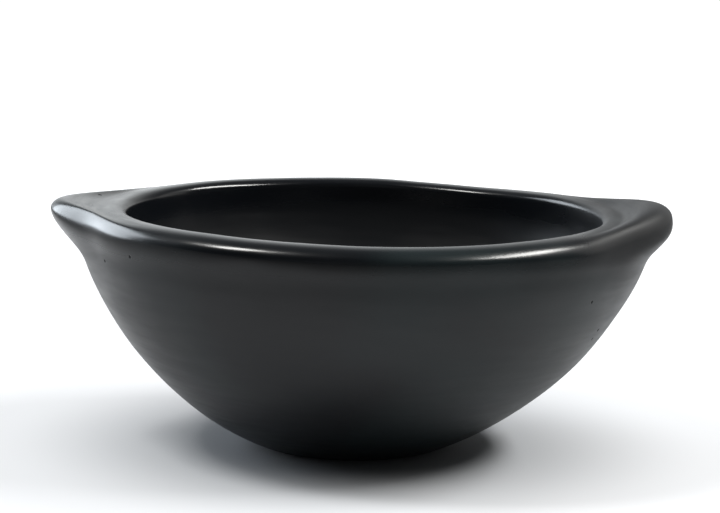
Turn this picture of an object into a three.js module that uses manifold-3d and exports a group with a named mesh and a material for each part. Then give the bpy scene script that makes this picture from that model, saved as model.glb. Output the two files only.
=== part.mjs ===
// A hand-built clay casserole dish: a round bowl with a rolled rim and two lugs, each drawn out of the
// rim and flared into the wall. It is raised as a potter raises it. A pressed base carries two rings of
// wall and a rolled rim, each ring luted on a bevel, and a lug is luted into a scarfed seat on each side.
// Millimetres, +Z up, the lugs along X, and the origin on the table under the middle of the dish.
import * as THREE from "three";
import { mergeVertices } from "three/addons/utils/BufferGeometryUtils.js";
import Module from "manifold-3d";

// Overall sizes
const RIM_HEIGHT = 76.5;
const WALL_RADIUS = 88.5;
const BASE_RADIUS = 28.7;

// Clay thickness, and the flat inside the bowl
const WALL_THICKNESS = 11.5;
const FLOOR_THICKNESS = 10;
const INSIDE_FLOOR_RADIUS = 24;

// The bowl's curve: how far below the rim it ends plumb, and its fullness as two powers of a superellipse
const SHOULDER_DROP = 7;
const BELLY_RISE = 1.8;
const BELLY_SPREAD = 1.26;

// Rolled lip: how far it stands out, how deep its roundings are, and how square it turns into the mouth
const LIP_OVERHANG = 1.5;
const NOSE_DROP = 2;
const ROLL_DEPTH = 4;
const INNER_ROUND_DEPTH = 3;
const INNER_SQUARENESS = 3;

// Lugs: how far they stand out of the lip, the flare down the wall, and how the hand varied each side
const LUG_REACH = 10;
const SKIRT_LENGTH = 26;
const FLARE_POWER = 1.5;
const LEFT_LUG = { halfAngleDegrees: 23, upturn: 3, sag: 0, squareness: 3.6 };
const RIGHT_LUG = { halfAngleDegrees: 27, upturn: 4.6, sag: 1.2, squareness: 2.8 };

// Pieces of clay, and the joints between them
const BASE_JOINT_HEIGHT = 25;
const LOWER_RING_HEIGHT = 20;
const RIM_BAND_HEIGHT = 10.5;
const JOINT_BEVEL = 3;
const SEAT_LEDGE = 1.5;
const LUTE_GAP = 0.3;

// Fineness of the facets
const ROUND_STEPS = 72;
const LUG_STEPS = 24;
const BASE_RISE_STEPS = 8;
const RING_RISE_STEPS = 4;
const ROUNDING_STEPS = 6;
const SKIRT_STEPS = 10;
const WELD = 1e-3;

// The power at which a superellipse is a plain round
const ROUND = 2;

// Sizes that follow from those
const SHOULDER_HEIGHT = RIM_HEIGHT - SHOULDER_DROP;
const NOSE_HEIGHT = RIM_HEIGHT - NOSE_DROP;
const SKIRT_FOOT_HEIGHT = NOSE_HEIGHT - SKIRT_LENGTH;
const WALL_JOINT_HEIGHT = BASE_JOINT_HEIGHT + LOWER_RING_HEIGHT;
const RIM_JOINT_HEIGHT = RIM_HEIGHT - RIM_BAND_HEIGHT;
const MOUTH_RADIUS = WALL_RADIUS - WALL_THICKNESS;
const LIP_RADIUS = WALL_RADIUS + LIP_OVERHANG;
const CREST_RADIUS = (MOUTH_RADIUS + LIP_RADIUS) / 2;

const wasm = await Module();
wasm.setup();

// Falls smoothly from 1 at a share of 0 to 0 at a share of 1.
function fall(share) {
  return (1 + Math.cos(Math.PI * Math.min(Math.max(share, 0), 1))) / 2;
}

// Evenly spaced values from one end to the other, both included.
function spread(from, to, steps) {
  return Array.from({ length: steps + 1 }, (_, i) => from + ((to - from) * i) / steps);
}

// Heights that lie close together where the bowl's curve leaves its floor.
function climb(floorHeight, topHeight) {
  return spread(0, 1, BASE_RISE_STEPS).map((share) => floorHeight + (topHeight - floorHeight) * share ** 2);
}

// Radius of a bowl curve that leaves a flat floor and ends plumb at the shoulder.
function bowlRadius(height, floorHeight, floorRadius, wallRadius) {
  const share = Math.min((height - floorHeight) / (SHOULDER_HEIGHT - floorHeight), 1);
  return floorRadius + (wallRadius - floorRadius) * (1 - (1 - share) ** BELLY_RISE) ** (1 / BELLY_SPREAD);
}

function outsidePoint(height) {
  return new THREE.Vector2(bowlRadius(height, 0, BASE_RADIUS, WALL_RADIUS), height);
}

function insidePoint(height) {
  return new THREE.Vector2(bowlRadius(height, FLOOR_THICKNESS, INSIDE_FLOOR_RADIUS, MOUTH_RADIUS), height);
}

// A joint face is a bevel that rises from the outside of the wall to the inside.
function bevelFoot(jointHeight) {
  return jointHeight - JOINT_BEVEL / 2;
}

function bevelTop(jointHeight) {
  return jointHeight + JOINT_BEVEL / 2;
}

// A quarter turn from the crest of the rim down to a plumb edge: a round, or squarer above a power of 2.
function quarterTurn(edgeRadius, edgeDrop, squareness, upturn) {
  return spread(Math.PI / 2, 0, ROUNDING_STEPS).map((angle) => {
    const out = Math.max(Math.cos(angle), 0) ** (2 / squareness);
    const up = Math.sin(angle) ** (2 / squareness);
    return new THREE.Vector2(
      CREST_RADIUS + (edgeRadius - CREST_RADIUS) * out,
      RIM_HEIGHT - edgeDrop + (edgeDrop + upturn * out) * up,
    );
  });
}

// The outside under a nose: the roll turns back to the wall, and a lug's flare runs on down to its foot.
function underNose(height, noseHeight, lugShare) {
  const roll = LIP_OVERHANG * fall((noseHeight - height) / ROLL_DEPTH);
  const skirtShare = (noseHeight - height) / (noseHeight - SKIRT_FOOT_HEIGHT);
  const flare = LUG_REACH * lugShare * fall(skirtShare) ** FLARE_POWER;
  return new THREE.Vector2(outsidePoint(height).x + roll + flare, height);
}

// Turns an outline of radius and height about the axis, closing it on itself where it is off the axis.
function revolved(outline) {
  const closed = outline[0].x === 0 ? outline : [...outline, outline[0]];
  return new THREE.LatheGeometry(closed, ROUND_STEPS).rotateX(Math.PI / 2);
}

// Joins the closed outlines of neighbouring radial planes, and caps the first and the last.
function sectorLoft(outlineAt, halfAngle) {
  const turns = spread(-halfAngle, halfAngle, LUG_STEPS);
  const outlines = turns.map(outlineAt);
  const count = outlines[0].length;
  const place = (point, turn) => [point.x * Math.cos(turn), point.x * Math.sin(turn), point.y];
  const positions = outlines.flatMap((outline, i) => outline.flatMap((point) => place(point, turns[i])));
  const faces = [];
  for (let i = 0; i < LUG_STEPS; i++) {
    for (let k = 0; k < count; k++) {
      const here = i * count + k;
      const along = i * count + ((k + 1) % count);
      faces.push(here, along, along + count, here, along + count, here + count);
    }
  }
  const last = LUG_STEPS * count;
  for (const [a, b, c] of THREE.ShapeUtils.triangulateShape(outlines[0], [])) {
    faces.push(a, b, c, last + a, last + c, last + b);
  }
  return new THREE.BufferGeometry()
    .setAttribute("position", new THREE.Float32BufferAttribute(positions, 3))
    .setIndex(faces);
}

function solidOf(geometry) {
  const bare = new THREE.BufferGeometry()
    .setAttribute("position", geometry.getAttribute("position"))
    .setIndex(geometry.index);
  const welded = mergeVertices(bare, WELD);
  const vertProperties = welded.getAttribute("position").array;
  const triVerts = new Uint32Array(welded.index.array);
  return new wasm.Manifold(new wasm.Mesh({ numProp: 3, vertProperties, triVerts }));
}

function geometryOf(solid) {
  const { vertProperties, triVerts } = solid.getMesh();
  return new THREE.BufferGeometry()
    .setAttribute("position", new THREE.BufferAttribute(vertProperties, 3))
    .setIndex(new THREE.BufferAttribute(triVerts, 1));
}

// The pressed base: the flat that stands on the table, the belly, and the floor of the bowl inside.
function mouldedBase() {
  return revolved([
    new THREE.Vector2(0, 0),
    ...climb(0, bevelFoot(BASE_JOINT_HEIGHT)).map(outsidePoint),
    ...climb(FLOOR_THICKNESS, bevelTop(BASE_JOINT_HEIGHT)).map(insidePoint).reverse(),
    new THREE.Vector2(0, FLOOR_THICKNESS),
  ]);
}

// A ring of wall, with a slip-filled lute line under it.
function wallRing(lowerJoint, upperJoint) {
  const outside = spread(bevelFoot(lowerJoint) + LUTE_GAP, bevelFoot(upperJoint), RING_RISE_STEPS);
  const inside = spread(bevelTop(upperJoint), bevelTop(lowerJoint) + LUTE_GAP, RING_RISE_STEPS);
  return revolved([...outside.map(outsidePoint), ...inside.map(insidePoint)]);
}

// The rolled rim: the plumb top of the wall, the roll, its nose and crest, and the turn into the mouth.
function rolledRim() {
  const heights = spread(bevelFoot(RIM_JOINT_HEIGHT) + LUTE_GAP, NOSE_HEIGHT, 2 * ROUNDING_STEPS);
  return revolved([
    ...heights.map((height) => underNose(height, NOSE_HEIGHT, 0)),
    ...quarterTurn(LIP_RADIUS, NOSE_DROP, ROUND, 0).reverse().slice(1),
    ...quarterTurn(MOUTH_RADIUS, INNER_ROUND_DEPTH, INNER_SQUARENESS, 0).slice(1),
    insidePoint(bevelTop(RIM_JOINT_HEIGHT) + LUTE_GAP),
  ]);
}

// A lug: its top drawn out of the crest, its edge, the flare down to its foot, and its scarfed back.
function lugGeometry({ halfAngleDegrees, upturn, sag, squareness }) {
  const halfAngle = THREE.MathUtils.degToRad(halfAngleDegrees);
  const heel = outsidePoint(SKIRT_FOOT_HEIGHT);
  heel.x -= SEAT_LEDGE;
  return sectorLoft((turn) => {
    const lugShare = fall(Math.abs(turn) / halfAngle);
    const noseDrop = NOSE_DROP + sag * lugShare;
    const noseHeight = RIM_HEIGHT - noseDrop;
    const noseRadius = LIP_RADIUS + LUG_REACH * lugShare;
    const power = ROUND + (squareness - ROUND) * lugShare;
    const skirtHeights = spread(noseHeight, SKIRT_FOOT_HEIGHT, SKIRT_STEPS).slice(1);
    return [
      ...quarterTurn(noseRadius, noseDrop, power, upturn * lugShare),
      ...skirtHeights.map((height) => underNose(height, noseHeight, lugShare)),
      heel,
    ];
  }, halfAngle);
}

// What is cut from the rim and the wall to seat a lug: its back and foot, one lute gap further in.
function seatGeometry({ halfAngleDegrees }) {
  const crestRadius = CREST_RADIUS - LUTE_GAP;
  const heel = outsidePoint(SKIRT_FOOT_HEIGHT);
  heel.x -= SEAT_LEDGE + LUTE_GAP;
  heel.y -= LUTE_GAP;
  const outerRadius = 2 * LIP_RADIUS;
  const topHeight = RIM_HEIGHT + NOSE_DROP;
  const outline = [
    new THREE.Vector2(crestRadius, RIM_HEIGHT),
    new THREE.Vector2(crestRadius, topHeight),
    new THREE.Vector2(outerRadius, topHeight),
    new THREE.Vector2(outerRadius, heel.y),
    heel,
  ];
  return sectorLoft(() => outline, THREE.MathUtils.degToRad(halfAngleDegrees) + LUTE_GAP / MOUTH_RADIUS);
}

const leftTurn = Math.PI;
const seats = [
  solidOf(seatGeometry(RIGHT_LUG)),
  solidOf(seatGeometry(LEFT_LUG).rotateZ(leftTurn)),
];

function withSeats(ring) {
  return geometryOf(seats.reduce((clay, seat) => clay.subtract(seat), solidOf(ring)));
}

// Smoked and stone-burnished clay, black all through.
function blackClay() {
  return new THREE.MeshStandardMaterial({ color: 0x242526, roughness: 0.36, metalness: 0 });
}

function piece(name, geometry) {
  const mesh = new THREE.Mesh(geometry, blackClay());
  mesh.name = name;
  return mesh;
}

const dish = new THREE.Group();
const leftLug = piece("left_lug", lugGeometry(LEFT_LUG));
leftLug.rotation.z = leftTurn;
dish.add(
  piece("moulded_base", mouldedBase()),
  piece("lower_wall", withSeats(wallRing(BASE_JOINT_HEIGHT, WALL_JOINT_HEIGHT))),
  piece("upper_wall", withSeats(wallRing(WALL_JOINT_HEIGHT, RIM_JOINT_HEIGHT))),
  piece("rolled_rim", withSeats(rolledRim())),
  piece("right_lug", lugGeometry(RIGHT_LUG)),
  leftLug,
);

export default dish;
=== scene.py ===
"""A hand-built black clay casserole dish, shaped and burnished over its solids in their own frame.

Metres, +Z up, the lugs along X, and the origin on the table under the middle of the dish.
"""

import math

import bmesh
import bpy
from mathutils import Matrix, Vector


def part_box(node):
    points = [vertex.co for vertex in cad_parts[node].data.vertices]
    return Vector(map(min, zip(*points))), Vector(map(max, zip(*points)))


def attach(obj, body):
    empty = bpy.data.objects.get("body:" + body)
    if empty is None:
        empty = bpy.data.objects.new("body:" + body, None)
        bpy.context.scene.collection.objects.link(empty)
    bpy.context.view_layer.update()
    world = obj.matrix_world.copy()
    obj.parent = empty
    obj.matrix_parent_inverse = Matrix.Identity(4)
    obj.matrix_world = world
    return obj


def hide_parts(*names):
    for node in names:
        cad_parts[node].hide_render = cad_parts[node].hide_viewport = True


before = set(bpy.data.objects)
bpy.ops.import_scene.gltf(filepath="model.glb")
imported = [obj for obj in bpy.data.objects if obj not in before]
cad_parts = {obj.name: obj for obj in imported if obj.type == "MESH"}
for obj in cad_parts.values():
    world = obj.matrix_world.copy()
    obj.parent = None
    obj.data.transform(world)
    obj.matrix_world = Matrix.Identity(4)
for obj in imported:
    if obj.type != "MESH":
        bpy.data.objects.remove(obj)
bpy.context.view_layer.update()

bl_info = {
    "name": "Burnished clay casserole dish",
    "version": (1, 0, 0),
    "blender": (4, 5, 0),
    "location": "View3D > Sidebar > Clay dish",
    "description": "Raises a burnished black clay dish with two pulled lugs, and sets it on a stage",
    "category": "Object",
}

MM = 0.001
RIM_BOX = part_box("rolled_rim")
LUG_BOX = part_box("left_lug")
LUG_REACH = -LUG_BOX[0].x - RIM_BOX[1].y

# The pieces of clay by the name of the solid that each stands for, and the name that each has here
PIECES = {
    "moulded_base": "burnished_base",
    "lower_wall": "burnished_lower_wall",
    "upper_wall": "burnished_upper_wall",
    "rolled_rim": "burnished_rim",
    "left_lug": "burnished_left_lug",
    "right_lug": "burnished_right_lug",
}
NODES = list(PIECES)
RINGS = ["moulded_base", "lower_wall", "upper_wall", "rolled_rim"]

# A joint rises from outside, where the ring above it starts, to inside, where the ring below it ends
JOINTS_OUTSIDE = [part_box(upper)[0].z for upper in RINGS[1:]]
JOINTS_INSIDE = [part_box(lower)[1].z for lower in RINGS[:-1]]

FORM = "clay_form"
PIECE_MARK = "piece_of_clay"
CLAY = "burnished_black_clay"
BODY = "root"

# Pits on and beside the left lug and under the right one: the middle of each, and its radius
WALL_PITS = [
    ((-78.5 * MM, -39.2 * MM, 64.3 * MM), 0.7 * MM),
    ((-69.3 * MM, -55.3 * MM, 68.3 * MM), 0.75 * MM),
    ((-86.2 * MM, 17.7 * MM, 77.3 * MM), 0.9 * MM),
    ((71.1 * MM, -52.0 * MM, 56.7 * MM), 0.7 * MM),
    ((74.8 * MM, -36.2 * MM, 45.2 * MM), 0.8 * MM),
    ((73.2 * MM, -35.1 * MM, 42.1 * MM), 0.75 * MM),
]

# Fineness of the cage that is smoothed into the form
COLUMNS = 80
COLUMN_TURN = math.tau / COLUMNS
SMOOTHINGS = 2
BASE_STEPS = 7
RING_STEPS = 4
SKIRT_STEPS = 7
ROLL_STEPS = 5
LIP_STEPS = 10
MOUTH_STEPS = 6
SEAT_STEP = 8
EDGE_STEP = 5
WELD = 0.01 * MM

# Rings of the flat under the base and of the flat inside, as shares of its radius
FLAT_RINGS = [0, 0.45, 0.8]

# Turns of the lugs about the axis, from +X
LEFT_TURN = math.pi
RIGHT_TURN = 0

# Angle over which an edge of a piece stays sharp, and the sides of the round floor
SMOOTH_ANGLE = math.radians(40)
FLOOR_SIDES = 96

# Tints of the light
WARM_LIGHT = (1.0, 0.99, 0.96)
SKY_LIGHT = (0.88, 0.95, 1.0)
WINDOW_LIGHT = (0.86, 0.93, 1.0)


def length(name, description, default):
    return bpy.props.FloatProperty(
        name=name, description=description, default=default, unit="LENGTH", subtype="DISTANCE", precision=5
    )


def angle(name, description, default):
    return bpy.props.FloatProperty(
        name=name, description=description, default=math.radians(default), unit="ROTATION", subtype="ANGLE"
    )


def share(name, description, default):
    return bpy.props.FloatProperty(name=name, description=description, default=default, subtype="FACTOR")


def number(name, description, default):
    return bpy.props.FloatProperty(name=name, description=description, default=default)


def colour(name, description, default):
    return bpy.props.FloatVectorProperty(
        name=name, description=description, default=default, size=3, min=0, max=1, subtype="COLOR"
    )


class BowlSizes(bpy.types.PropertyGroup):
    """Sizes of the bowl and its rolled lip, before the hand's marks."""

    rim_height: length("Rim height", "Height of the crest of the rim", RIM_BOX[1].z + 0.3 * MM)
    lip_radius: length("Lip radius", "Radius at the nose of the lip, between the lugs", RIM_BOX[1].y)
    lip_overhang: length("Lip overhang", "How far the lip stands out of the wall", 0.8 * MM)
    wall_thickness: length("Wall thickness", "Thickness of the wall at the mouth", 11.2 * MM)
    base_radius: length("Base radius", "Radius of the flat that stands on the table", 28.7 * MM)
    floor_thickness: length("Floor thickness", "Thickness of the clay under the bowl", 10 * MM)
    inside_floor_radius: length("Inside floor radius", "Radius of the flat inside the bowl", 8 * MM)
    shoulder_drop: length("Shoulder drop", "How far below the rim the wall turns plumb", 7 * MM)
    crest_inset: length("Crest inset", "How far outside the mouth the rim is highest", 4.5 * MM)
    nose_drop: length("Nose drop", "How far below the crest the lip is widest", 4.5 * MM)
    lip_squareness: number("Lip squareness", "2 turns the lip's top round, more turns it squarer", 2.1)
    roll_depth: length("Roll depth", "Height in which the lip turns back to the wall", 8 * MM)
    inner_round: length("Inner round", "Depth of the turn into the mouth", 2.6 * MM)
    inner_squareness: number("Inner squareness", "2 turns round into the mouth, more turns squarer", 2.2)
    belly_rise: number("Belly rise", "How early the wall climbs", 1.9)
    belly_spread: number("Belly spread", "How full the outside is near the base", 1.23)
    inside_spread: number("Inside spread", "How full the inside is near its floor", 1.83)


class LugSizes(bpy.types.PropertyGroup):
    """Sizes of the two lugs that are pulled out of the rim."""

    left_reach: length("Left reach", "How far the left lug stands out of the lip", LUG_REACH + 1.1 * MM)
    right_reach: length("Right reach", "How far the right lug stands out of the lip", LUG_REACH + 1.3 * MM)
    skirt_foot: length("Skirt foot", "Height at which the clay of a lug ends on the wall", LUG_BOX[0].z)
    left_flare: length("Left flare", "Depth in which most of the left lug falls back", 12.2 * MM)
    right_flare: length("Right flare", "Depth in which most of the right lug falls back", 12.5 * MM)
    left_tail_depth: length("Left tail depth", "Depth in which the rest of the left lug does", 38 * MM)
    right_tail_depth: length("Right tail depth", "Depth in which the rest of the right lug does", 34 * MM)
    right_flare_power: number("Right flare power", "How soon the right flare falls back", 2.2)
    left_tail: share("Left tail", "Share of the left lug's reach that the tail takes", 0.27)
    right_tail: share("Right tail", "Share of the right lug's reach that the tail takes", 0.35)
    left_top_power: number("Left top power", "How late the left lug's top is drawn out", 1.4)
    right_top_power: number("Right top power", "How late the right lug's top is drawn out", 1.0)
    left_half_angle: angle("Left half angle", "Half of the turn that the left lug spans", 22.5)
    left_edge_pull: share("Left edge pull", "Share of the left reach that its top edge takes", 0.8)
    left_rise: length("Left rise", "How far the left lug's top edge stands up", 3.2 * MM)
    left_rise_half_angle: angle("Left rise half angle", "Half of the turn that this edge spans", 49.5)
    left_nose_rise: share("Left nose rise", "Share of that rise at the nose under the edge", 0.9)
    left_nose_power: number("Left nose power", "How much sooner the nose runs out than the edge", 6)
    left_crease: share("Left crease", "How crisp the left lug's top edge is at its tip", 0.15)
    right_half_angle: angle("Right half angle", "Half of the turn that the right lug spans", 31.5)
    right_flare_spread: number("Right flare spread", "How much wider the flare under it spans", 1.25)
    right_rise: length("Right rise", "How far the right lug's rounded top stands up", 7.0 * MM)
    right_rise_half_angle: angle("Right rise half angle", "Half of the turn that this top spans", 40.5)
    right_nose_rise: share("Right nose rise", "Share of that rise at the nose", 0.35)
    right_nose_power: number("Right nose power", "How much sooner the nose runs out than the top", 8)
    right_fade: number("Right fade", "How round the right lug's top edge is", 0.4)
    rise_fade: length("Rise fade", "Depth under the nose in which the rise dies out", 10 * MM)


class HandMarks(bpy.types.PropertyGroup):
    """Where the hand left the dish uneven."""

    foot_shift: length("Foot shift", "How far the foot stands off the middle, along X", -1.9 * MM)
    foot_shift_height: length("Foot shift height", "Height at which that has died out", 30 * MM)
    belly_shift: length("Belly shift", "How far the wall leans along X where it is fullest", 1.2 * MM)
    belly_shift_height: length("Belly shift height", "Height at which the wall leans most", 60 * MM)
    back_dip: length("Back dip", "How far the rim dips behind the right lug", -1.1 * MM)
    back_dip_turn: angle("Back dip turn", "Turn of that dip from +X", 60)
    back_dip_half_angle: angle("Back dip half angle", "Half of the turn that the dip spans", 32)
    front_lift: length("Front lift", "How far the rim stands up in front of the left lug", 1.15 * MM)
    front_lift_turn: angle("Front lift turn", "Turn of that lift from +X", -138)
    front_lift_half_angle: angle("Front lift half angle", "Half of the turn that the lift spans", 60)
    mouth_shift: length("Mouth shift", "How far the mouth stands in at the left lug, along X", 2.4 * MM)
    mouth_shift_depth: length("Mouth shift depth", "Depth inside in which that has died out", 30 * MM)
    mouth_shift_half_angle: angle("Mouth shift half angle", "Half of the turn over which it does", 50)
    left_sag: length("Left sag", "How far the lip hangs lower in front of the left lug", -1.2 * MM)
    left_sag_turn: angle("Left sag turn", "Turn of that sag from +X", -157)
    left_sag_half_angle: angle("Left sag half angle", "Half of the turn over which it does", 25)
    right_sag: length("Right sag", "How far the lip hangs lower in front of the right lug", -1.3 * MM)
    right_sag_turn: angle("Right sag turn", "Turn of that sag from +X", -22)
    right_sag_half_angle: angle("Right sag half angle", "Half of the turn over which it does", 40)
    wobble_depth: length("Wobble depth", "Depth of the broad unevenness of the wall", 0.6 * MM)
    wobble_size: length("Wobble size", "Width of the broad unevenness", 55 * MM)
    ripple_depth: length("Ripple depth", "Depth of the small marks of the fingers", 0.12 * MM)
    ripple_size: length("Ripple size", "Width of the small marks", 13 * MM)
    still_height: length("Still height", "Height above the table from which the clay is uneven", 10 * MM)


class ClayFinish(bpy.types.PropertyGroup):
    """Smoked black clay, burnished with a stone."""

    clay: colour("Clay", "Colour of the smoked clay", (0.0034, 0.0042, 0.0056))
    bloom: colour("Bloom", "Colour of the paler smoke bloom", (0.0095, 0.0142, 0.0158))
    dust: colour("Dust", "Colour of the rubbed foot", (0.03, 0.029, 0.027))
    # The pit colour is painted shade in the hollows of the pits
    pit: colour("Pit", "Colour in the pits", (0.004, 0.004, 0.004))
    mottle_scale: number("Mottle scale", "How fine the mottle of the smoke is", 13)
    bloom_start: share("Bloom start", "Mottle from which the bloom shows", 0.47)
    bloom_full: share("Bloom full", "Mottle from which there is nothing but bloom", 0.66)
    rub: share("Rub", "How much of its dust the foot shows", 0.8)
    rub_start: length("Rub start", "Height up to which it shows as much as that", 0.2 * MM)
    rub_end: length("Rub end", "Height from which it shows none", 2.5 * MM)
    gloss_roughness: share("Gloss roughness", "Roughness where the stone passed most", 0.18)
    satin_roughness: share("Satin roughness", "Roughness where it passed least", 0.3)
    wall_dullness: share("Wall dullness", "Roughness added where the wall lies below the rim", 0.16)
    wall_top: length("Wall top", "Height up to which the wall is as dull as that", 63 * MM)
    rim_foot: length("Rim foot", "Height from which the rim is bright", 71 * MM)
    lug_dullness: share("Lug dullness", "Roughness added on the right lug", 0.2)
    lug_start: length("Lug start", "Distance along X from which the right lug gets duller", 62 * MM)
    lug_full: length("Lug full", "Distance along X from which it is as dull as that", 82 * MM)
    specular: share("Specular", "Strength of the reflection", 0.34)
    stroke_bump: share("Stroke bump", "How plain the strokes of the stone are", 0.07)
    stroke_depth: length("Stroke depth", "Depth of the strokes", 0.2 * MM)
    grain_scale: number("Grain scale", "How fine the grain of the clay is", 700)
    grain_bump: share("Grain bump", "How plain the grain is", 0.05)
    grain_depth: length("Grain depth", "Depth of the grain", 0.05 * MM)
    pit_bump: share("Pit bump", "How plain the pits are", 0.5)
    pit_depth: length("Pit depth", "Depth of the pits", 0.2 * MM)


class StageSet(bpy.types.PropertyGroup):
    """Floor, surround and camera."""

    # The lit floor and the dim floor are a painted pool of light round the dish, not lamp light
    floor: colour("Floor", "Colour of the lit floor", (0.33, 0.341, 0.359))
    dim_floor: colour("Dim floor", "Colour of the floor out of the light", (0.17, 0.17, 0.17))
    floor_roughness: share("Floor roughness", "Roughness of the floor", 0.9)
    floor_specular: share("Floor specular", "Strength of its reflection", 0.1)
    # Reach, end and spread of that painted pool of light
    lit_reach: length("Lit reach", "How far in front and aside the floor is lit", 0.17)
    lit_end: length("Lit end", "Where the light on the floor has died out", 0.34)
    lit_spread: share("Lit spread", "How much wider the lit floor grows to the back", 0.2)
    near_glow: share("Near glow", "White added to the floor round the dish where it is seen", 0.5)
    far_glow: share("Far glow", "White added to that far from the dish", 0.46)
    # Inside this distance the added white is left out, a painted contact shadow round the foot
    near_glow_start: length("Near glow start", "Distance from the middle at which the white begins", 0.04)
    near_glow_end: length("Near glow end", "Distance at which the first white is full", 0.12)
    far_glow_end: length("Far glow end", "Distance at which all of it is full", 1.0)
    floor_radius: length("Floor radius", "Radius of the floor", 7.0)
    surround_front: share("Surround in front", "Brightness of the surround behind the camera", 0.16)
    surround_back: share("Surround behind", "Brightness of the surround behind the dish", 1.0)
    surround_left: number("Surround to the left", "Times that brightness, left of the middle", 1.2)
    surround_right: number("Surround to the right", "Times that brightness, right of the middle", 0.68)
    surround_top: share("Surround above", "Share of that brightness overhead", 0.2)
    rim_drop: length("Rim drop", "How far below the crest the middle of the rim is taken", 2.4 * MM)
    camera_distance: length("Camera distance", "From the middle of the rim to the camera", 0.8)
    camera_elevation: angle("Camera elevation", "Angle of the camera above the level of the rim", 7.95)
    camera_roll: angle("Camera roll", "Turn of the camera about its view", 1.15)
    camera_lens: number("Camera lens", "Focal length in millimetres on a 36 mm sensor", 123.4)
    aim_x: length("Aim along X", "Where along X the camera looks", 0.27 * MM)
    aim_height: length("Aim height", "Height at which the camera looks", 61.2 * MM)


# Form of the bowl

def fall(part):
    """Falls smoothly from 1 at a part of 0 to 0 at a part of 1."""
    return (1 + math.cos(math.pi * min(max(part, 0), 1))) / 2


def steps_between(start, stop, steps):
    return [start + (stop - start) * step / steps for step in range(steps + 1)]


def climb(start, stop):
    """Heights that lie close together where the bowl's curve leaves its floor."""
    return [start + (stop - start) * part**2 for part in steps_between(0, 1, BASE_STEPS)]


def wall_radius(bowl):
    return bowl.lip_radius - bowl.lip_overhang


def mouth_radius(bowl):
    return wall_radius(bowl) - bowl.wall_thickness


def crest_radius(bowl):
    return mouth_radius(bowl) + bowl.crest_inset


def nose_height(bowl):
    return bowl.rim_height - bowl.nose_drop


def bowl_radius(bowl, height, floor_height, floor_radius, top_radius, spread):
    """Radius of a curve that leaves a flat floor and ends plumb at the shoulder."""
    shoulder = bowl.rim_height - bowl.shoulder_drop
    part = min(max((height - floor_height) / (shoulder - floor_height), 0), 1)
    fullness = (1 - (1 - part) ** bowl.belly_rise) ** (1 / spread)
    return floor_radius + (top_radius - floor_radius) * fullness


def outside_radius(bowl, height):
    roll = bowl.lip_overhang * fall((nose_height(bowl) - height) / bowl.roll_depth)
    return bowl_radius(bowl, height, 0, bowl.base_radius, wall_radius(bowl), bowl.belly_spread) + roll


def inside_radius(bowl, height):
    floor = (bowl.floor_thickness, bowl.inside_floor_radius)
    return bowl_radius(bowl, height, *floor, mouth_radius(bowl), bowl.inside_spread)


def quarter_turn(bowl, edge_radius, edge_drop, squareness, steps):
    """Points from a plumb edge of the rim up to its crest."""
    points = []
    for turn in steps_between(0, math.pi / 2, steps):
        out = max(math.cos(turn), 0) ** (2 / squareness)
        up = math.sin(turn) ** (2 / squareness)
        radius = crest_radius(bowl) + (edge_radius - crest_radius(bowl)) * out
        points.append((radius, bowl.rim_height - edge_drop + edge_drop * up))
    return points


def lip_turn(bowl):
    """Points from the nose of the lip up to the crest. The lugs' seat and the left one's edge are two."""
    return quarter_turn(bowl, bowl.lip_radius, bowl.nose_drop, bowl.lip_squareness, LIP_STEPS)


def seat_point(bowl):
    return Vector(lip_turn(bowl)[SEAT_STEP])


def outside_heights(bowl, lugs):
    """Heights of the rings up the outside, with one at each joint and one at the foot of the lugs."""
    base, middle, top = JOINTS_OUTSIDE
    heights = climb(0, base)
    heights += steps_between(base, middle, RING_STEPS)[1:]
    heights += steps_between(lugs.skirt_foot, top, SKIRT_STEPS)
    heights += steps_between(top, nose_height(bowl), ROLL_STEPS)[1:-1]
    return heights


def inside_heights(bowl):
    """Heights of the rings down the inside, with one at each joint."""
    base, middle, top = JOINTS_INSIDE
    round_end = bowl.rim_height - bowl.inner_round
    heights = steps_between(round_end, top, RING_STEPS // 2)[1:]
    heights += steps_between(top, middle, RING_STEPS)[1:]
    heights += steps_between(middle, base, RING_STEPS)[1:]
    heights += climb(bowl.floor_thickness, base)[-2::-1]
    return heights


def bowl_profile(bowl, lugs):
    """Radius and height from under the base, up the outside, over the rim and down to the inside floor."""
    under = [(bowl.base_radius * part, 0) for part in FLAT_RINGS]
    outside = [(outside_radius(bowl, height), height) for height in outside_heights(bowl, lugs)]
    lip = lip_turn(bowl)
    mouth = quarter_turn(bowl, mouth_radius(bowl), bowl.inner_round, bowl.inner_squareness, MOUTH_STEPS)
    inside = [(inside_radius(bowl, height), height) for height in inside_heights(bowl)]
    floor = [(bowl.inside_floor_radius * part, bowl.floor_thickness) for part in reversed(FLAT_RINGS)]
    return under + outside + lip + mouth[-2::-1] + inside + floor


# Work by hand in edit mode

def take_up(thing):
    """Selects one object, makes it active, and nothing else."""
    bpy.ops.object.select_all(action="DESELECT")
    thing.select_set(True)
    bpy.context.view_layer.objects.active = thing


def choose(kind, test):
    """Selects the faces or edges of the mesh in edit mode that pass a test, and nothing else."""
    bpy.ops.mesh.select_mode(type={"faces": "FACE", "edges": "EDGE"}[kind])
    bpy.ops.mesh.select_all(action="DESELECT")
    mesh = bpy.context.edit_object.data
    shape = bmesh.from_edit_mesh(mesh)
    chosen = [item for item in getattr(shape, kind) if test(item)]
    if not chosen:
        raise RuntimeError(f"{bpy.context.edit_object.name} has no {kind} to choose here")
    for item in chosen:
        item.select_set(True)
    bmesh.update_edit_mesh(mesh)


def middle_of(edge):
    return (edge.verts[0].co + edge.verts[1].co) / 2


def runs_round(edge):
    """Whether an edge runs round the dish, and not up or down it."""
    first, second = (vertex.co.xy.normalized() for vertex in edge.verts)
    return abs(first.cross(second)) > math.sin(COLUMN_TURN / 2**SMOOTHINGS / 2)


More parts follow.
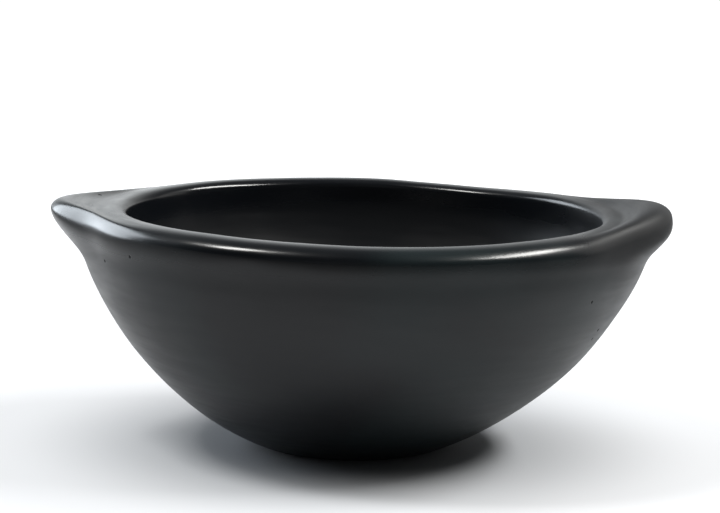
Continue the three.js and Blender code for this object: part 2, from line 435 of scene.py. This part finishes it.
def draw_round(points):
    """Draws a line of points from one on the axis, by extruding, and spins it round the axis."""
    bpy.ops.object.select_all(action="DESELECT")
    bpy.ops.mesh.primitive_plane_add(size=MM)
    drawn = bpy.context.object
    bpy.ops.object.mode_set(mode="EDIT")
    bpy.ops.mesh.merge(type="CENTER")
    for (radius, height), (next_radius, next_height) in zip(points, points[1:]):
        move = (next_radius - radius, 0, next_height - height)
        bpy.ops.mesh.extrude_vertices_move(TRANSFORM_OT_translate={"value": move})
    bpy.ops.mesh.select_all(action="SELECT")
    bpy.ops.mesh.spin(steps=COLUMNS, angle=math.tau, center=(0, 0, 0), axis=(0, 0, 1))
    bpy.ops.mesh.select_all(action="SELECT")
    bpy.ops.mesh.remove_doubles(threshold=WELD)
    bpy.ops.mesh.normals_make_consistent(inside=False)
    bpy.ops.object.mode_set(mode="OBJECT")
    return drawn


def apply_modifiers(thing):
    take_up(thing)
    for modifier in list(thing.modifiers):
        bpy.ops.object.modifier_apply(modifier=modifier.name)


def press(form, name, axis, depth, weight_at):
    """Adds a move of the clay along an axis, by a depth times the weight at each point."""
    group = form.vertex_groups.new(name=name)
    for vertex in form.data.vertices:
        weight = weight_at(vertex.co)
        if weight > 0:
            group.add([vertex.index], weight, "REPLACE")
    modifier = form.modifiers.new(name, "DISPLACE")
    modifier.direction = axis
    modifier.strength = depth
    modifier.mid_level = 0
    modifier.vertex_group = name


def unevenness(form, name, depth, size, group):
    """Adds bumps and hollows of one depth and width, along the normal."""
    texture = bpy.data.textures.new(name, "CLOUDS")
    texture.noise_scale = size
    texture.noise_depth = 1
    modifier = form.modifiers.new(name, "DISPLACE")
    modifier.texture = texture
    modifier.texture_coords = "LOCAL"
    modifier.strength = depth
    modifier.mid_level = 0.5
    modifier.vertex_group = group


# Marks on the cage: which piece each face belongs to, and where the lugs and the hand move it

def turn_from(point, axis_turn):
    """Turn of a point about the axis, from a direction, without its sign."""
    turn = math.atan2(point.y, point.x) - axis_turn
    return abs(math.remainder(turn, math.tau))


def is_outside(bowl, point):
    """Whether a point lies outside the middle of the wall."""
    radius = point.xy.length
    if point.z > nose_height(bowl):
        return radius > seat_point(bowl).x - WELD
    return radius > (outside_radius(bowl, point.z) + inside_radius(bowl, point.z)) / 2


def piece_at(bowl, lugs, point):
    """The node of the piece of clay that a point of the plain form lies in."""
    outside = is_outside(bowl, point)
    if outside and point.z > lugs.skirt_foot:
        if turn_from(point, LEFT_TURN) < lugs.left_half_angle:
            return "left_lug"
        if turn_from(point, RIGHT_TURN) < lugs.right_half_angle:
            return "right_lug"
    joints = JOINTS_OUTSIDE if outside and point.z < nose_height(bowl) else JOINTS_INSIDE
    return RINGS[sum(point.z > joint for joint in joints)]


def mark_pieces(form, bowl, lugs):
    mark = form.data.attributes.new(PIECE_MARK, "INT", "FACE")
    for face in form.data.polygons:
        mark.data[face.index].value = NODES.index(piece_at(bowl, lugs, face.center))


def lip_shares(bowl, point):
    """How far out of the lugs' seat and up from the nose a point of the lip lies, both from 0 to 1."""
    seat = seat_point(bowl).x
    out = (point.xy.length - seat) / (bowl.lip_radius - seat)
    up = (point.z - nose_height(bowl)) / bowl.nose_drop
    return min(max(out, 0), 1), min(max(up, 0), 1)


def edge_point(bowl):
    """The point of the plain lip that becomes the crisp top edge of the left lug."""
    radius, height = lip_turn(bowl)[EDGE_STEP]
    return Vector((radius, 0, height))


def left_pull_weight(bowl, lugs, point, lug_share):
    """The left lug is drawn out to a flat top with an edge, nearly as far as its nose."""
    out, up = lip_shares(bowl, point)
    edge_out, edge_up = lip_shares(bowl, edge_point(bowl))
    if up == 0:
        below = nose_height(bowl) - point.z
        flare = fall(below / lugs.left_flare)
        tail = fall(below / lugs.left_tail_depth)
        return lug_share * (flare + (tail - flare) * lugs.left_tail)
    if up >= edge_up:
        return lug_share * lugs.left_edge_pull * min(out / edge_out, 1) ** lugs.left_top_power
    bead = math.sqrt(1 - (up / edge_up) ** 2)
    return lug_share * (lugs.left_edge_pull + (1 - lugs.left_edge_pull) * bead)


def right_pull_weight(bowl, lugs, point, lug_share):
    """The right lug is drawn out round, less and less to its top, over a broader flare."""
    out, up = lip_shares(bowl, point)
    if up == 0:
        below = nose_height(bowl) - point.z
        broad_half_angle = lugs.right_half_angle * lugs.right_flare_spread
        broad_share = fall(turn_from(point, RIGHT_TURN) / broad_half_angle)
        lug_share = broad_share + (lug_share - broad_share) * fall(below / lugs.rise_fade)
        flare = fall(below / lugs.right_flare) ** lugs.right_flare_power
        tail = fall(below / lugs.right_tail_depth)
        return lug_share * (flare + (tail - flare) * lugs.right_tail)
    return lug_share * out**lugs.right_top_power


def left_rise_weight(bowl, lugs, point, lug_share):
    """The left lug's top rises flat to a crisp edge, and its nose follows it part of the way."""
    out, up = lip_shares(bowl, point)
    edge_out, edge_up = lip_shares(bowl, edge_point(bowl))
    nose_rise = lugs.left_nose_rise * lug_share**lugs.left_nose_power
    if up == 0:
        return nose_rise * fall((nose_height(bowl) - point.z) / lugs.rise_fade)
    if up >= edge_up:
        return lug_share * min(out / edge_out, 1) ** lugs.left_top_power
    return nose_rise + (lug_share - nose_rise) * up / edge_up


def right_rise_weight(bowl, lugs, point, lug_share):
    """The right lug's top rises round, and its nose follows it a little."""
    out, up = lip_shares(bowl, point)
    nose_rise = lugs.right_nose_rise * lug_share**lugs.right_nose_power
    if up == 0:
        return nose_rise * fall((nose_height(bowl) - point.z) / lugs.rise_fade)
    rounded = nose_rise + (lug_share - nose_rise) * up**lugs.right_fade
    return (1 - (1 - out) ** 2) * rounded


def foot_weight(bowl, hand, point):
    """The foot stands off the middle, and the wall over it less and less."""
    return fall(point.z / hand.foot_shift_height)


def belly_weight(bowl, hand, point):
    """The wall leans most where it is fullest, and less towards the foot and the rim."""
    fullest = hand.belly_shift_height
    if point.z < fullest:
        reach = fullest - hand.foot_shift_height / 2
    else:
        reach = bowl.rim_height + bowl.nose_drop - fullest
    return fall(abs(point.z - fullest) / reach)


def rim_weight(bowl, hand, point):
    """The rim moves, and the wall under it follows less and less."""
    return fall((bowl.rim_height - point.z) / (bowl.rim_height - hand.belly_shift_height))


def sag_weight(bowl, hand, point):
    """The nose and the underside of the lip hang lower."""
    if not is_outside(bowl, point):
        return 0
    up = lip_shares(bowl, point)[1]
    return fall((nose_height(bowl) - point.z) / (2 * bowl.roll_depth)) * (1 - up)


def mouth_weight(bowl, hand, point):
    """The inside of the rim stands in at the left lug, so that the lug's top is broad."""
    if is_outside(bowl, point):
        return 0
    crest = crest_radius(bowl)
    inward = fall((point.xy.length - crest) / (seat_point(bowl).x - crest))
    depth = fall((bowl.rim_height - point.z) / hand.mouth_shift_depth)
    return inward * depth * fall(turn_from(point, LEFT_TURN) / hand.mouth_shift_half_angle)


def press_lugs(form, bowl, lugs):
    """Draws the lugs out of the rim and raises their tops."""

    def move(name, axis, depth, weight, turn, half_angle):
        def weight_at(point):
            if not is_outside(bowl, point):
                return 0
            return weight(bowl, lugs, point, fall(turn_from(point, turn) / half_angle))

        press(form, name, axis, depth, weight_at)

    move("left_pull", "X", -lugs.left_reach, left_pull_weight, LEFT_TURN, lugs.left_half_angle)
    move("right_pull", "X", lugs.right_reach, right_pull_weight, RIGHT_TURN, lugs.right_half_angle)
    move("left_rise", "Z", lugs.left_rise, left_rise_weight, LEFT_TURN, lugs.left_rise_half_angle)
    move("right_rise", "Z", lugs.right_rise, right_rise_weight, RIGHT_TURN, lugs.right_rise_half_angle)


def press_hand_marks(form, bowl, hand):
    """Shifts the clay along X, and lifts or drops it at one turn about the axis."""

    def shift(name, weight):
        press(form, name, "X", getattr(hand, name), lambda point: weight(bowl, hand, point))

    def lift(name, weight):
        turn = getattr(hand, f"{name}_turn")
        half_angle = getattr(hand, f"{name}_half_angle")

        def weight_at(point):
            return weight(bowl, hand, point) * fall(turn_from(point, turn) / half_angle)

        press(form, name, "Z", getattr(hand, name), weight_at)

    shift("foot_shift", foot_weight)
    shift("belly_shift", belly_weight)
    lift("back_dip", rim_weight)
    lift("front_lift", rim_weight)
    shift("mouth_shift", mouth_weight)
    lift("left_sag", sag_weight)
    lift("right_sag", sag_weight)


def crease_left_lug(form, bowl, lugs):
    """Sharpens the top edge of the left lug, most at its tip."""
    top = edge_point(bowl)

    def on_top(vertex):
        return abs(vertex.co.xy.length - top.x) < WELD and abs(vertex.co.z - top.z) < WELD

    take_up(form)
    bpy.ops.object.mode_set(mode="EDIT")
    for column in range(round(lugs.left_rise_half_angle / COLUMN_TURN)):
        turn = (column + 0.5) * COLUMN_TURN

        def in_column(edge):
            return (
                all(on_top(vertex) for vertex in edge.verts)
                and abs(turn_from(middle_of(edge), LEFT_TURN) - turn) < COLUMN_TURN / 4
            )

        choose("edges", in_column)
        bpy.ops.transform.edge_crease(value=lugs.left_crease * fall(turn / lugs.left_rise_half_angle))
    bpy.ops.object.mode_set(mode="OBJECT")


def raise_form(bowl, lugs, hand):
    """Raises the whole dish as one skin of clay, marked with the pieces that it is made of."""
    form = draw_round(bowl_profile(bowl, lugs))
    form.name = FORM
    mark_pieces(form, bowl, lugs)
    crease_left_lug(form, bowl, lugs)
    press_lugs(form, bowl, lugs)
    press_hand_marks(form, bowl, hand)
    apply_modifiers(form)
    smoothing = form.modifiers.new("smoothing", "SUBSURF")
    smoothing.levels = SMOOTHINGS
    smoothing.render_levels = SMOOTHINGS
    apply_modifiers(form)
    uneven = form.vertex_groups.new(name="uneven")
    for vertex in form.data.vertices:
        uneven.add([vertex.index], 1 - fall(vertex.co.z / hand.still_height), "REPLACE")
    unevenness(form, "wobble", hand.wobble_depth, hand.wobble_size, uneven.name)
    unevenness(form, "ripple", hand.ripple_depth, hand.ripple_size, uneven.name)
    apply_modifiers(form)
    bpy.ops.object.shade_smooth()
    form.hide_render = True
    return form


# Pieces of clay, cut from the form and closed at their joints

def cut_piece(node):
    """Copies the form and cuts away all but one piece, which is left in edit mode with its joints open."""
    form = bpy.data.objects[FORM]
    take_up(form)
    bpy.ops.object.duplicate()
    piece = bpy.context.object
    piece.name = PIECES[node]
    piece.data.name = PIECES[node]
    piece.hide_render = False
    bpy.ops.object.mode_set(mode="EDIT")
    mark = bmesh.from_edit_mesh(piece.data).faces.layers.int[PIECE_MARK]
    wanted = NODES.index(node)
    choose("faces", lambda face: face[mark] != wanted)
    bpy.ops.mesh.delete(type="FACE")
    return piece


def close_joint(low=-math.inf, high=math.inf):
    """Bridges the open edges between two heights, from the outside of the wall to the inside."""
    choose("edges", lambda edge: edge.is_boundary and low < middle_of(edge).z < high)
    bpy.ops.mesh.bridge_edge_loops()


def seat_on_joint(bowl, lugs):
    """Radius and height where the scarfed seat of a lug crosses the joint under the rim."""
    crest = seat_point(bowl)
    foot = Vector((outside_radius(bowl, lugs.skirt_foot), lugs.skirt_foot))
    outer = Vector((outside_radius(bowl, JOINTS_OUTSIDE[-1]), JOINTS_OUTSIDE[-1]))
    inner = Vector((inside_radius(bowl, JOINTS_INSIDE[-1]), JOINTS_INSIDE[-1]))
    seat = crest - foot
    joint = inner - outer
    part = (outer - foot).cross(joint) / seat.cross(joint)
    return foot + seat * part


def cut_seats(bowl, lugs, start_radius, start_height, is_start):
    """Carries the open edges at the lugs along their seats to the joint, and closes the ends."""
    radius, height = seat_on_joint(bowl, lugs)
    choose("edges", lambda edge: edge.is_boundary and runs_round(edge) and is_start(middle_of(edge)))
    bpy.ops.mesh.extrude_edges_move(TRANSFORM_OT_translate={"value": (0, 0, height - start_height)})
    narrowing = radius / start_radius
    bpy.ops.transform.resize(value=(narrowing, narrowing, 1), center_override=(0, 0, 0))
    for side in (-1, 1):
        for end in (-1, 1):

            def at_end(edge):
                middle = middle_of(edge)
                upright = edge.is_boundary and not runs_round(edge)
                return upright and middle.x * side > 0 and middle.y * end > 0

            choose("edges", at_end)
            bpy.ops.mesh.edge_face_add()
    close_joint()


def finish_piece(piece, node, clay):
    """Turns the faces out, smooths them as they were on the form, and hands the piece to the frame."""
    bpy.ops.mesh.select_all(action="SELECT")
    bpy.ops.mesh.normals_make_consistent(inside=False)
    bpy.ops.object.mode_set(mode="OBJECT")
    piece.data.attributes.remove(piece.data.attributes[PIECE_MARK])
    piece.vertex_groups.clear()
    take_up(piece)
    bpy.ops.object.shade_smooth_by_angle(angle=SMOOTH_ANGLE)
    smooth = piece.modifiers.new("form_normals", "DATA_TRANSFER")
    smooth.object = bpy.data.objects[FORM]
    smooth.use_loop_data = True
    smooth.data_types_loops = {"CUSTOM_NORMAL"}
    smooth.loop_mapping = "NEAREST_POLYNOR"
    apply_modifiers(piece)
    piece.data.materials.append(clay)
    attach(piece, BODY)
    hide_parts(node)


# Finish of the clay

def feed(tree, socket, value):
    """Links a socket to another one, or sets it to a value."""
    if isinstance(value, bpy.types.NodeSocket):
        tree.links.new(value, socket)
    else:
        socket.default_value = value


def add_node(tree, kind, settings=None, **inputs):
    """Adds a node with its settings, and feeds its inputs by name."""
    node = tree.nodes.new(kind)
    for name, value in (settings or {}).items():
        setattr(node, name, value)
    for name, value in inputs.items():
        feed(tree, node.inputs[name.replace("_", " ")], value)
    return node


def maths(tree, operation, first, second=0):
    node = add_node(tree, "ShaderNodeMath", {"operation": operation})
    feed(tree, node.inputs[0], first)
    feed(tree, node.inputs[1], second)
    return node.outputs["Value"]


def vector_maths(tree, operation, first, second=(0, 0, 0)):
    node = add_node(tree, "ShaderNodeVectorMath", {"operation": operation})
    feed(tree, node.inputs[0], first)
    feed(tree, node.inputs[1], second)
    return node.outputs["Value" if operation in ("LENGTH", "DOT_PRODUCT") else "Vector"]


def ranged(tree, value, low, high, to_low, to_high):
    """Runs smoothly from one value to another while a value runs from low to high."""
    node = add_node(
        tree, "ShaderNodeMapRange", {"interpolation_type": "SMOOTHSTEP"},
        Value=value, From_Min=low, From_Max=high, To_Min=to_low, To_Max=to_high,
    )
    return node.outputs["Result"]


def noise(tree, vector, scale, detail):
    node = add_node(tree, "ShaderNodeTexNoise", None, Vector=vector, Scale=scale, Detail=detail)
    return node.outputs["Fac"]


def mixed(tree, part, first, second):
    """One colour over another, each a colour or a socket."""
    node = add_node(tree, "ShaderNodeMix", {"data_type": "RGBA"})
    sockets = [socket for socket in node.inputs if socket.enabled]
    for socket, value in zip(sockets, (part, first, second)):
        linked = isinstance(value, bpy.types.NodeSocket)
        feed(tree, socket, value if linked else (*value, 1))
    return next(socket for socket in node.outputs if socket.enabled)


def bump(tree, height, strength, depth, under=None, invert=False):
    """Raises the surface by a height, over the bumps under it."""
    settings = {"invert": invert}
    node = add_node(tree, "ShaderNodeBump", settings, Height=height, Strength=strength, Distance=depth)
    if under is not None:
        tree.links.new(under, node.inputs["Normal"])
    return node.outputs["Normal"]


def burnish_strokes(tree, place):
    """Long strokes of the stone that run round the dish."""
    around_scale = 4
    across_scale = 260
    flat = vector_maths(tree, "MULTIPLY", place, (1, 1, 0))
    radius = vector_maths(tree, "LENGTH", flat)
    around = vector_maths(tree, "MULTIPLY", vector_maths(tree, "NORMALIZE", flat), (around_scale,) * 3)
    height = add_node(tree, "ShaderNodeSeparateXYZ", None, Vector=place).outputs["Z"]
    across = maths(tree, "MULTIPLY", maths(tree, "ADD", height, radius), across_scale)
    upright = add_node(tree, "ShaderNodeCombineXYZ", None, Z=across).outputs["Vector"]
    return noise(tree, vector_maths(tree, "ADD", around, upright), scale=1, detail=3)


def pits(tree, place):
    """Small pits, in a few of the cells of a loose scatter and by the lugs: 1 in a pit and 0 outside."""
    scatter_scale = 95
    rarity = 0.9
    largest_in_cell = 0.075
    smallest_in_cell = 0.0001
    flat_share = 0.5
    cells = add_node(tree, "ShaderNodeTexVoronoi", None, Vector=place, Scale=scatter_scale)
    drawn = add_node(tree, "ShaderNodeSeparateColor", None, Color=cells.outputs["Color"]).outputs["Red"]
    radius = ranged(tree, drawn, rarity, 1, 0, largest_in_cell)
    radius = maths(tree, "MAXIMUM", radius, smallest_in_cell)
    inside = maths(tree, "DIVIDE", cells.outputs["Distance"], radius)
    pit = ranged(tree, inside, flat_share, 1, 1, 0)
    for middle, pit_radius in WALL_PITS:
        away = vector_maths(tree, "LENGTH", vector_maths(tree, "SUBTRACT", place, middle))
        pit = maths(tree, "MAXIMUM", pit, ranged(tree, away, pit_radius * flat_share, pit_radius, 1, 0))
    return pit


def outward_unshaded(tree, place):
    """1 where the clay looks away from the axis, and 0 where it looks in to the bowl; it keeps the bloom
    off the inside, which stays darker as painted shade.
    """
    blend = 0.3
    normal = add_node(tree, "ShaderNodeNewGeometry").outputs["Normal"]
    outward = vector_maths(tree, "NORMALIZE", vector_maths(tree, "MULTIPLY", place, (1, 1, 0)))
    return ranged(tree, vector_maths(tree, "DOT_PRODUCT", normal, outward), -blend, blend, 0, 1)


def clay_colour(tree, finish, place, height, mottle, pit):
    """Black clay with patches of smoke bloom on the outside only, the inside kept darker as painted shade,
    a rubbed foot, and its pits painted dark as shade in their hollows.
    """
    bloom = ranged(tree, mottle, finish.bloom_start, finish.bloom_full, 0, 1)
    # Leaving the bloom off the inside of the bowl paints shade there: the inside stays darker
    bloom = maths(tree, "MULTIPLY", bloom, outward_unshaded(tree, place))
    smoked = mixed(tree, bloom, finish.clay, finish.bloom)
    rubbed = ranged(tree, height, finish.rub_start, finish.rub_end, finish.rub, 0)
    dusted = mixed(tree, maths(tree, "MULTIPLY", rubbed, mottle), smoked, finish.dust)
    # The pits take a plain dark colour, painted shade in their hollows
    return mixed(tree, pit, dusted, finish.pit)


def clay_roughness(tree, finish, sides, mottle, strokes, pit):
    """Glossy where the stone passed most, duller on the wall and the right lug, and dull in the pits."""
    mottle_share = 0.6
    least_missed = 0.3
    most_missed = 0.7
    by_mottle = maths(tree, "MULTIPLY", mottle, mottle_share)
    by_strokes = maths(tree, "MULTIPLY", strokes, 1 - mottle_share)
    missed = maths(tree, "ADD", by_mottle, by_strokes)
    gloss, satin = finish.gloss_roughness, finish.satin_roughness
    burnish = ranged(tree, missed, least_missed, most_missed, gloss, satin)
    on_wall = ranged(tree, sides["Z"], finish.wall_top, finish.rim_foot, finish.wall_dullness, 0)
    on_lug = ranged(tree, sides["X"], finish.lug_start, finish.lug_full, 0, finish.lug_dullness)
    dulled = maths(tree, "ADD", burnish, maths(tree, "MAXIMUM", on_wall, on_lug))
    return maths(tree, "MAXIMUM", dulled, pit)


def clay_relief(tree, finish, place, strokes, pit):
    """Strokes of the stone, the grain of the clay and its pits."""
    grain = noise(tree, place, finish.grain_scale, detail=2)
    normal = bump(tree, strokes, finish.stroke_bump, finish.stroke_depth)
    normal = bump(tree, grain, finish.grain_bump, finish.grain_depth, normal)
    return bump(tree, pit, finish.pit_bump, finish.pit_depth, normal, invert=True)


def burnished_clay(finish):
    """The one clay that all the pieces share."""
    clay = bpy.data.materials.get(CLAY)
    if clay:
        return clay
    clay = bpy.data.materials.new(CLAY)
    clay.use_nodes = True
    tree = clay.node_tree
    shader = tree.nodes["Principled BSDF"]
    place = add_node(tree, "ShaderNodeTexCoord").outputs["Object"]
    sides = add_node(tree, "ShaderNodeSeparateXYZ", None, Vector=place).outputs
    mottle = noise(tree, place, finish.mottle_scale, detail=2)
    strokes = burnish_strokes(tree, place)
    pit = pits(tree, place)
    tree.links.new(clay_colour(tree, finish, place, sides["Z"], mottle, pit), shader.inputs["Base Color"])
    tree.links.new(clay_roughness(tree, finish, sides, mottle, strokes, pit), shader.inputs["Roughness"])
    tree.links.new(clay_relief(tree, finish, place, strokes, pit), shader.inputs["Normal"])
    shader.inputs["Specular IOR Level"].default_value = finish.specular
    return clay


# Stage

def direction(turn, elevation):
    """From the dish towards a place round it: a turn from the front, to the right, and an elevation."""
    level = math.cos(elevation)
    return Vector((math.sin(turn) * level, -math.cos(turn) * level, math.sin(elevation)))


def hang_lamp(name, turn, elevation, distance, size, power, tint):
    """A soft rectangular lamp that faces the dish. Its turn and elevation are in degrees."""
    towards = direction(math.radians(turn), math.radians(elevation))
    facing = (-towards).to_track_quat("-Z", "Y").to_euler()
    bpy.ops.object.light_add(type="AREA", location=towards * distance, rotation=facing)
    lamp = bpy.context.object
    lamp.name = name
    lamp.data.shape = "RECTANGLE"
    lamp.data.size, lamp.data.size_y = size
    lamp.data.energy = power
    lamp.data.color = tint


def lay_floor(stage):
    """A pale floor, which shows as white where it is lit and keeps the shadow of the dish. The lit part is
    a painted pool of light: colour and added white fade to a dim floor away from the front and sides of
    the dish. Close round the foot the added white is left out, a painted contact shadow.
    """
    bpy.ops.mesh.primitive_circle_add(vertices=FLOOR_SIDES, radius=stage.floor_radius, fill_type="NGON")
    floor = bpy.context.object
    floor.name = "floor"
    pale = bpy.data.materials.new("pale_floor")
    pale.use_nodes = True
    tree = pale.node_tree
    shader = tree.nodes["Principled BSDF"]
    shader.inputs["Roughness"].default_value = stage.floor_roughness
    shader.inputs["Specular IOR Level"].default_value = stage.floor_specular
    rays = add_node(tree, "ShaderNodeLightPath").outputs
    shown = maths(tree, "MAXIMUM", rays["Is Camera Ray"], rays["Is Glossy Ray"])
    shown = maths(tree, "MAXIMUM", shown, rays["Is Transmission Ray"])
    shader.inputs["Emission Color"].default_value = (1, 1, 1, 1)
    place = add_node(tree, "ShaderNodeTexCoord").outputs["Object"]
    sides = add_node(tree, "ShaderNodeSeparateXYZ", None, Vector=place).outputs
    spread = maths(tree, "MULTIPLY", sides["Y"], stage.lit_spread)
    aside = maths(tree, "SUBTRACT", maths(tree, "ABSOLUTE", sides["X"]), spread)
    outside = maths(tree, "MAXIMUM", aside, maths(tree, "MULTIPLY", sides["Y"], -1))
    # Painted pool of light: the floor's colour and its added white fade out away from the dish
    lit = ranged(tree, outside, stage.lit_reach, stage.lit_end, 1, 0)
    tree.links.new(mixed(tree, lit, stage.dim_floor, stage.floor), shader.inputs["Base Color"])
    away = vector_maths(tree, "LENGTH", place)
    # The added white starts only some way from the middle, which paints a contact shadow round the foot
    near = ranged(tree, away, stage.near_glow_start, stage.near_glow_end, 0, stage.near_glow)
    far = ranged(tree, away, stage.near_glow_end, stage.far_glow_end, 0, stage.far_glow)
    glow = maths(tree, "MULTIPLY", maths(tree, "ADD", near, far), lit)
    tree.links.new(maths(tree, "MULTIPLY", shown, glow), shader.inputs["Emission Strength"])
    floor.data.materials.append(pale)


def light_surround(stage):
    """A plain surround, bright behind the dish and dim behind the camera and overhead."""
    front_end = -0.6
    back_start = 0.9
    top_start = 0.3
    top_end = 0.85
    side_lift = 0.7
    middle_blend = 0.12
    world = bpy.data.worlds.new("studio_surround")
    world.use_nodes = True
    tree = world.node_tree
    outward = add_node(tree, "ShaderNodeTexCoord").outputs["Generated"]
    towards = add_node(tree, "ShaderNodeSeparateXYZ", None, Vector=outward).outputs
    behind = ranged(tree, towards["Y"], front_end, back_start, stage.surround_front, stage.surround_back)
    lift = maths(tree, "MULTIPLY", maths(tree, "ABSOLUTE", towards["X"]), side_lift)
    height = maths(tree, "ADD", towards["Z"], lift)
    above = ranged(tree, height, top_start, top_end, 1, stage.surround_top)
    across = ranged(
        tree, towards["X"], -middle_blend, middle_blend, stage.surround_left, stage.surround_right
    )
    strength = maths(tree, "MULTIPLY", maths(tree, "MULTIPLY", behind, above), across)
    tree.links.new(strength, tree.nodes["Background"].inputs["Strength"])
    tint = mixed(tree, ranged(tree, towards["X"], -1, 1, 0, 1), SKY_LIGHT, WARM_LIGHT)
    tree.links.new(tint, tree.nodes["Background"].inputs["Color"])
    bpy.context.scene.world = world


def set_camera(stage, bowl):
    """A camera in front of the dish and a little above its rim."""
    rim_middle = Vector((0, 0, bowl.rim_height - stage.rim_drop))
    place = rim_middle + direction(0, stage.camera_elevation) * stage.camera_distance
    aim = Vector((stage.aim_x, 0, stage.aim_height))
    view = (aim - place).to_track_quat("-Z", "Y").to_matrix().to_4x4()
    bpy.ops.object.camera_add(location=place)
    camera = bpy.context.object
    camera.name = "photo_camera"
    camera.data.lens = stage.camera_lens
    camera.rotation_euler = view.to_euler()
    camera.rotation_euler.rotate_axis("Z", stage.camera_roll)
    bpy.context.scene.camera = camera


# Operators: the form, each piece or pair of like pieces that is cut from it, and the stage

class CLAY_OT_raise_form(bpy.types.Operator):
    """Raise the whole dish as one marked skin of clay."""

    bl_idname = "clay.raise_form"
    bl_label = "Raise the form"

    def execute(self, context):
        scene = context.scene
        raise_form(scene.clay_bowl, scene.clay_lugs, scene.clay_hand)
        return {"FINISHED"}


class CLAY_OT_base(bpy.types.Operator):
    """Cut the pressed base and close its joint."""

    bl_idname = "clay.base"
    bl_label = "Base"

    def execute(self, context):
        piece = cut_piece("moulded_base")
        close_joint()
        finish_piece(piece, "moulded_base", burnished_clay(context.scene.clay_finish))
        return {"FINISHED"}


class CLAY_OT_walls(bpy.types.Operator):
    """Cut the two rings of wall, with the lugs' seats in the upper one."""

    bl_idname = "clay.walls"
    bl_label = "Walls"

    def execute(self, context):
        bowl, lugs = context.scene.clay_bowl, context.scene.clay_lugs
        clay = burnished_clay(context.scene.clay_finish)
        lower = cut_piece("lower_wall")
        halfway = (JOINTS_INSIDE[0] + JOINTS_OUTSIDE[1]) / 2
        close_joint(high=halfway)
        close_joint(low=halfway)
        finish_piece(lower, "lower_wall", clay)
        upper = cut_piece("upper_wall")
        close_joint(high=(JOINTS_INSIDE[1] + lugs.skirt_foot) / 2)
        notch_middle = (lugs.skirt_foot + JOINTS_OUTSIDE[2]) / 2
        foot_radius = outside_radius(bowl, lugs.skirt_foot)
        cut_seats(bowl, lugs, foot_radius, lugs.skirt_foot, lambda point: point.z < notch_middle)
        finish_piece(upper, "upper_wall", clay)
        return {"FINISHED"}


class CLAY_OT_rim(bpy.types.Operator):
    """Cut the rolled rim, with the lugs' seats in it."""

    bl_idname = "clay.rim"
    bl_label = "Rim"

    def execute(self, context):
        bowl, lugs = context.scene.clay_bowl, context.scene.clay_lugs
        piece = cut_piece("rolled_rim")
        shoulder = bowl.rim_height - bowl.shoulder_drop
        cut_seats(bowl, lugs, *seat_point(bowl), lambda point: point.z > shoulder)
        finish_piece(piece, "rolled_rim", burnished_clay(context.scene.clay_finish))
        return {"FINISHED"}


class CLAY_OT_lugs(bpy.types.Operator):
    """Cut the two lugs and close their seats."""

    bl_idname = "clay.lugs"
    bl_label = "Lugs"

    def execute(self, context):
        clay = burnished_clay(context.scene.clay_finish)
        for node in ("left_lug", "right_lug"):
            piece = cut_piece(node)
            choose("edges", lambda edge: edge.is_boundary and runs_round(edge))
            bpy.ops.mesh.bridge_edge_loops()
            bpy.ops.mesh.select_all(action="SELECT")
            bpy.ops.mesh.fill_holes(sides=0)
            finish_piece(piece, node, clay)
        return {"FINISHED"}


class CLAY_OT_clear_form(bpy.types.Operator):
    """Take the form away once its pieces are cut."""

    bl_idname = "clay.clear_form"
    bl_label = "Clear the form"

    def execute(self, context):
        take_up(bpy.data.objects[FORM])
        bpy.ops.object.delete()
        return {"FINISHED"}


class CLAY_OT_stage(bpy.types.Operator):
    """Lay the floor, hang the lamps and set the camera."""

    bl_idname = "clay.stage"
    bl_label = "Stage"

    def execute(self, context):
        stage = context.scene.clay_stage
        lay_floor(stage)
        light_surround(stage)
        hang_lamp(
            "left_lamp", turn=-80, elevation=60, distance=1.5,
            size=(0.3, 0.4), power=17, tint=WARM_LIGHT,
        )
        hang_lamp(
            "right_lamp", turn=94, elevation=50, distance=1.5,
            size=(0.95, 0.24), power=31, tint=WARM_LIGHT,
        )
        hang_lamp(
            "left_window", turn=-122, elevation=18, distance=1.8,
            size=(1.0, 1.1), power=28, tint=WINDOW_LIGHT,
        )
        hang_lamp(
            "right_window", turn=115, elevation=24, distance=1.8,
            size=(0.9, 1.3), power=2.2, tint=WARM_LIGHT,
        )
        set_camera(stage, context.scene.clay_bowl)
        context.scene.view_settings.view_transform = "Standard"
        return {"FINISHED"}


class CLAY_PT_dish(bpy.types.Panel):
    """Sizes, finish and steps of the dish."""

    bl_label = "Clay dish"
    bl_idname = "CLAY_PT_dish"
    bl_space_type = "VIEW_3D"
    bl_region_type = "UI"
    bl_category = "Clay dish"

    def draw(self, context):
        for group in SETTINGS:
            box = self.layout.box()
            settings = getattr(context.scene, group)
            for name in settings.__annotations__:
                box.prop(settings, name)
        for operator in OPERATORS:
            self.layout.operator(operator.bl_idname)


SETTINGS = {
    "clay_bowl": BowlSizes,
    "clay_lugs": LugSizes,
    "clay_hand": HandMarks,
    "clay_finish": ClayFinish,
    "clay_stage": StageSet,
}
OPERATORS = [
    CLAY_OT_raise_form,
    CLAY_OT_base,
    CLAY_OT_walls,
    CLAY_OT_rim,
    CLAY_OT_lugs,
    CLAY_OT_clear_form,
    CLAY_OT_stage,
]
CLASSES = [*SETTINGS.values(), *OPERATORS, CLAY_PT_dish]


def register():
    for made in CLASSES:
        bpy.utils.register_class(made)
    for name, group in SETTINGS.items():
        setattr(bpy.types.Scene, name, bpy.props.PointerProperty(type=group))


def unregister():
    for name in SETTINGS:
        delattr(bpy.types.Scene, name)
    for made in reversed(CLASSES):
        bpy.utils.unregister_class(made)


def main():
    register()
    bpy.ops.clay.raise_form()
    bpy.ops.clay.base()
    bpy.ops.clay.walls()
    bpy.ops.clay.rim()
    bpy.ops.clay.lugs()
    bpy.ops.clay.clear_form()
    bpy.ops.clay.stage()


if __name__ == "__main__":
    main()
